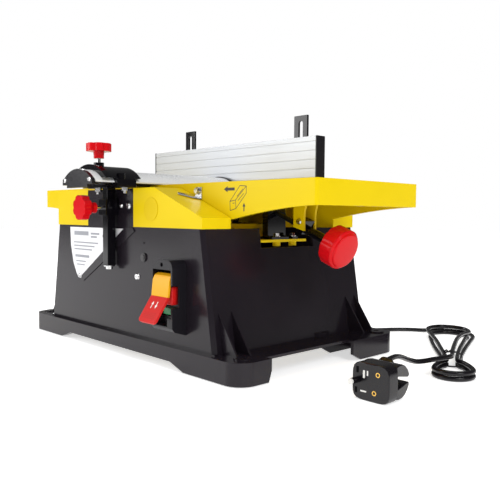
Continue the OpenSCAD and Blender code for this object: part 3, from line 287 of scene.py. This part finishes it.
def mesh_piece(name, vertices, faces, material, body="base", bevel=0.0, smooth=True):
    """A mesh riding on a body: vertices in mm."""
    mesh = bpy.data.meshes.new(name)
    mesh.from_pydata([tuple(c * MM for c in v) for v in vertices], [], faces)
    mesh.materials.append(material)
    shape = bmesh.new()
    shape.from_mesh(mesh)
    bmesh.ops.recalc_face_normals(shape, faces=shape.faces)
    shape.to_mesh(mesh)
    shape.free()
    for face in mesh.polygons:
        face.use_smooth = smooth
    piece = bpy.data.objects.new(name, mesh)
    bpy.context.scene.collection.objects.link(piece)
    if bevel:
        edges = piece.modifiers.new("edges", "BEVEL")
        edges.width = bevel * MM
        edges.segments = 3
        edges.limit_method = "ANGLE"
        edges.angle_limit = math.radians(32)
        piece.modifiers.new("normals", "WEIGHTED_NORMAL").keep_sharp = True
    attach(piece, body)
    return piece


def ring_loft(rings, closed_ends=True):
    """Vertices and faces of a skin over rings of equally many points."""
    count = len(rings[0])
    faces = [[r * count + k, r * count + (k + 1) % count, (r + 1) * count + (k + 1) % count, (r + 1) * count + k]
             for r in range(len(rings) - 1) for k in range(count)]
    if closed_ends:
        faces += [list(range(count))[::-1], [(len(rings) - 1) * count + k for k in range(count)]]
    return [point for ring in rings for point in ring], faces


def rounded(half_w, half_h, power=4.0, count=32):
    """A rectangle with full corners, as points round its middle."""
    points = []
    for k in range(count):
        a = 2 * math.pi * (k + 0.5) / count
        c, s = math.cos(a), math.sin(a)
        r = (abs(c) ** power + abs(s) ** power) ** (-1 / power)
        points.append((half_w * r * c, half_h * r * s))
    return points


def make_tie():
    """A twist tie pulled tight round the hank, with its ends wound together on top."""
    middle, wide, high = 12.4, 13.4, 10.4
    rings = []
    for du, grow in ((-3.2, 0.2), (-3.2, 1.2), (-1.6, 1.6), (0, 1.2), (1.6, 1.6), (3.2, 1.2), (3.2, 0.2)):
        rings.append([hank_point(TIE_U + du, x, middle + z) for x, z in rounded(wide + grow, high + grow, 2.8, 28)])
    vertices, faces = ring_loft(rings + [rings[0]], closed_ends=False)
    band = mesh_piece("tie_band", vertices, faces, materials["cord_black"])
    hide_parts("hank_tie")
    twist = [Vector(hank_point(TIE_U - 1 + 1.4 * math.sin(i * 1.3), 2 + i * 1.3, 24.6 + 1.2 * math.cos(i * 1.3))) * MM
             for i in range(9)]
    ends = curve_piece("tie_ends", twist, 0.0011, materials["cord_black"])
    return [band, ends]


cord_line = smooth_line(FLOOR_ROUTE + [hank_point(*p) for p in HANK_ROUTE] + LEAD_ROUTE)
cord_length = sum((b - a).length for a, b in zip(cord_line, cord_line[1:]))
cord_piece = curve_piece("mains_lead", cord_line, CORD_R * MM, materials["cord_black"])
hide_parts("cord", "hank", "lead")
tie_pieces = make_tie()


# ---- Plug ----
def make_plug():
    """Rewirable in-line connector: a square face, a waisted body and finger grips towards the lead."""
    x_mid, z_mid = 437, 23.5
    face_y = -92
    rings = []
    for y, half_w, half_h, shift in ((0, 25.6, 22.0, 0), (0.5, 26.4, 22.8, 0), (2, 27, 23.4, 0), (18, 27, 23.4, 0),
                                     (19.2, 26.2, 22.6, 0), (20, 24, 20.5, 0), (22, 17, 14, -2),
                                     (38, 15, 12, -5), (46, 12.5, 10.5, -9), (50, 10, 9.5, -11),
                                     (52, 8.4, 8.4, -12)):
        rise = 0 if y < 30 else (y - 30) * 0.6
        rings.append([(x_mid + shift + x, face_y + y, z_mid + rise + z) for x, z in rounded(half_w, half_h, 5.0, 40)])
    vertices, faces = ring_loft(rings)
    body = mesh_piece("plug_body", vertices, faces, materials["cord_black"], bevel=0.5)
    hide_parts("plug", "plug_contacts")
    made = [body]

    def tile(name, x0, x1, z0, z1, out, material):
        points = [(x, face_y + y, z) for y in (1, -out) for x, z in ((x0, z0), (x1, z0), (x1, z1), (x0, z1))]
        quads = [[0, 1, 2, 3], [4, 5, 6, 7], [0, 1, 5, 4], [1, 2, 6, 5], [2, 3, 7, 6], [3, 0, 4, 7]]
        made.append(mesh_piece(name, points, quads, material, bevel=0.2))

    # the two slot tiles are painted shade: flat near-black patches in place of open pin holes
    tile("plug_slot_top_shade", x_mid - 20.8, x_mid - 16.8, 33, 41, 0.06, painted_slot_shade)
    tile("plug_slot_low_shade", x_mid - 22.8, x_mid - 18.8, 8, 15.5, 0.06, painted_slot_shade)
    tile("plug_clip_top", x_mid - 10.5, x_mid - 7.8, 28, 37.5, 0.6, nylon_white)
    tile("plug_clip_side", x_mid - 5, x_mid - 3, 31.5, 37.5, 0.4, nylon_white)
    tile("plug_clip_low", x_mid - 14, x_mid - 5.5, 10.8, 12.6, 0.5, nylon_white)

    def sleeve(name, x, z, outer, inner, out, material):
        rings = []
        for radius, y in ((outer, 1), (outer, -out), (inner, -out), (inner, 0.6)):
            rings.append([(x + radius * math.cos(2 * math.pi * k / 24), face_y + y,
                           z + radius * math.sin(2 * math.pi * k / 24)) for k in range(24)])
        points, quads = ring_loft(rings)
        made.append(mesh_piece(name, points, quads, material, bevel=0.15))

    sleeve("plug_socket_top", x_mid + 11, 35, 3.1, 1.8, 0.5, materials["contact_brass"])
    sleeve("plug_socket_low", x_mid + 6, 12, 3.1, 1.8, 0.5, materials["contact_brass"])
    # earth pin, sleeved in black with a bright tip
    sleeve("plug_pin", x_mid - 18.5, 24.5, 3.9, 2.6, 13.0, materials["cord_black"])
    sleeve("plug_pin_tip", x_mid - 18.5, 24.5, 3.7, 0.3, 15.4, nylon_white)
    # finger wings above and below the waist
    for side in (-1, 1):
        outline = [(19, 8), (19, 20), (26, 21.4), (34, 20.8), (41, 18), (47, 13.2), (51, 7.4), (51.6, 4.2),
                   (48, 2.6), (38, 4.6), (28, 6.6)]
        rings = [[(x_mid + x * (1 - (y - 19) * 0.004), face_y + y, z_mid + side * z + 0.6) for y, z in outline]
                 for x in (-25, 25)]
        points, quads = ring_loft(rings)
        made.append(mesh_piece(f"plug_wing_{'low' if side < 0 else 'top'}", points, quads, materials["cord_black"],
                               bevel=1.6))
    return made


plug_pieces = make_plug()


# ---- Printed marks ----
def stroke(a, b, width):
    """A straight line between two points of a plane, as a four-sided outline."""
    a, b = Vector(a), Vector(b)
    side = (b - a).normalized()
    side = Vector((-side.y, side.x)) * width / 2
    return [a + side, b + side, b - side, a - side]


def arrow(tail, tip, width, head):
    tail, tip = Vector(tail), Vector(tip)
    way = (tip - tail).normalized()
    side = Vector((-way.y, way.x))
    neck = tip - way * head
    return [stroke(tail, neck, width), [neck + side * head * 0.55, tip, neck - side * head * 0.55]]


def print_on(name, outlines, place, material, body):
    """Flat outlines laid on a surface; place turns the two drawing coordinates into a point in mm."""
    vertices, faces = [], []
    for outline in outlines:
        faces.append(list(range(len(vertices), len(vertices) + len(outline))))
        vertices += [place(x, z) for x, z in outline]
    return mesh_piece(name, vertices, faces, material, body=body, smooth=False)


PRINT_PROUD = 0.08
APRON_Y = -114.4 - PRINT_PROUD
board_lines = [((207, 243), (208, 230)), ((208, 230), (220, 233)), ((220, 233), (241, 254)), ((207, 243), (228, 265)),
               ((228, 265), (241, 264)), ((241, 254), (241, 264)), ((207, 243), (219, 245)), ((219, 245), (241, 264)),
               ((219, 245), (220, 233)), ((222, 250), (234, 260)), ((224, 244), (236, 254)), ((213, 240), (217, 241))]
marks = [stroke(a, b, 0.9) for a, b in board_lines]
marks += arrow((217, 260.5), (194, 260.5), 4.2, 8)
marks += arrow((236.5, 229), (236.5, 241), 2.0, 5.5)
print_on("apron_print", marks, lambda x, z: (x, APRON_Y, z), print_black, "infeed")

LABEL_T = 0.6
LABEL_Y = -167.6 - LABEL_T - PRINT_PROUD
bars = [stroke((x0, z), (x1, z), h) for x0, x1, z, h in (
    (-148, -98, 190, 7), (-90, -62, 190, 3), (-90, -70, 184.5, 3), (-150, -66, 174, 2.2), (-149, -78, 168, 2.2),
    (-148, -86, 162, 2.2), (-145, -96, 150, 4.5), (-142, -108, 141, 2.2), (-139, -112, 135, 2.2))]
print_on("label_bars", bars, lambda x, z: (x, LABEL_Y, z), print_grey, "base")
DOT_R, DOT_Z = 3.2, 187
dots = [[(x + DOT_R * math.cos(a / 8 * math.pi), DOT_Z + DOT_R * math.sin(a / 8 * math.pi)) for a in range(16)]
        for x in (-48, -38, -28)]
print_on("label_dots", dots, lambda x, z: (x, LABEL_Y, z), print_black, "base")


def on_flap(low, high):
    """Drawing coordinates on a face of the flap between two (y, z) edges, slightly proud of it."""
    low, high = Vector(low), Vector(high)
    way = (high - low).normalized()
    out = Vector((-abs(way.y), way.x if way.y > 0 else -way.x)).normalized() * 0.12

    def place(x, t):
        spot = low + way * t + out
        return (x, spot.x, spot.y)
    return place


print_on("flap_arrows", arrow((144, 22), (144, 33), 1.5, 5) + arrow((154, 33), (154, 22), 1.5, 5),
         on_flap((-219, 74), (-196, 108)), print_white, "switch_flap")
# the pips are painted shade: flat darker dots standing in for the shading of small raised grip dots
pips = [[(x + 0.55 * math.cos(a * math.pi / 3), t + 0.55 * math.sin(a * math.pi / 3)) for a in range(6)]
        for x in range(138, 163, 3) for t in (7, 9.6, 12.2, 14.8)]
print_on("flap_pips", pips, on_flap((-219, 74), (-196, 108)), painted_dot_shade, "switch_flap")


# ---- Stage and light ----
def area_light(name, spot, target, size, power):
    """A square lamp of a given side and power, facing its target."""
    light = bpy.data.lights.new(name, "AREA")
    light.shape = "RECTANGLE"
    light.size = size
    light.size_y = size
    light.energy = power
    lamp = bpy.data.objects.new(name, light)
    lamp.location = spot
    lamp.rotation_euler = (Vector(target) - Vector(spot)).to_track_quat("-Z", "Y").to_euler()
    bpy.context.scene.collection.objects.link(lamp)


def make_floor():
    """A pale seamless floor that glows a little, so it meets the backdrop without an edge."""
    mesh = bpy.data.meshes.new("floor")
    half = 8.0
    mesh.from_pydata([(-half, -half, 0), (half, -half, 0), (half, half, 0), (-half, half, 0)], [], [(0, 1, 2, 3)])
    floor = bpy.data.objects.new("floor", mesh)
    bpy.context.scene.collection.objects.link(floor)
    n = Nodes("studio_floor")
    n.link(n.shade(n.noise(3.0), (0.93, 0.93, 0.93), (0.96, 0.96, 0.96)), n.shader.inputs["Base Color"])
    n.shader.inputs["Roughness"].default_value = 0.6
    n.shader.inputs["Emission Color"].default_value = (1, 1, 1, 1)
    n.shader.inputs["Emission Strength"].default_value = 0.62
    mesh.materials.append(n.material)


SKY_SEEN, SKY_LIGHT, SKY_MIRRORED = 1.0, 0.50, 0.13


def make_world():
    """A white backdrop for the eye, soft light all round, and a darker room for reflections."""
    world = bpy.data.worlds.new("studio")
    world.use_nodes = True
    tree = world.node_tree
    path = tree.nodes.new("ShaderNodeLightPath")

    def sky(strength):
        node = tree.nodes.new("ShaderNodeBackground")
        node.inputs["Color"].default_value = (1, 1, 1, 1)
        node.inputs["Strength"].default_value = strength
        return node.outputs["Background"]

    def choose(ray, otherwise, chosen):
        mix = tree.nodes.new("ShaderNodeMixShader")
        tree.links.new(path.outputs[ray], mix.inputs["Fac"])
        tree.links.new(otherwise, mix.inputs[1])
        tree.links.new(chosen, mix.inputs[2])
        return mix.outputs["Shader"]

    lit = choose("Is Glossy Ray", sky(SKY_LIGHT), sky(SKY_MIRRORED))
    tree.links.new(choose("Is Camera Ray", lit, sky(SKY_SEEN)), tree.nodes["World Output"].inputs["Surface"])
    bpy.context.scene.world = world


make_floor()
make_world()
bpy.context.scene.view_settings.view_transform = "Standard"
area_light("front_softbox", (-2.0, -2.4, 1.1), (0, 0, 0.15), 1.6, 41)
area_light("key", (2.4, -0.7, 1.7), (0, 0, 0.2), 0.9, 27)
area_light("top", (0.2, -0.2, 2.6), (0, 0, 0.2), 1.0, 12)
area_light("rim", (-2.2, 0.8, 1.2), (-0.1, -0.1, 0.25), 0.5, 9)
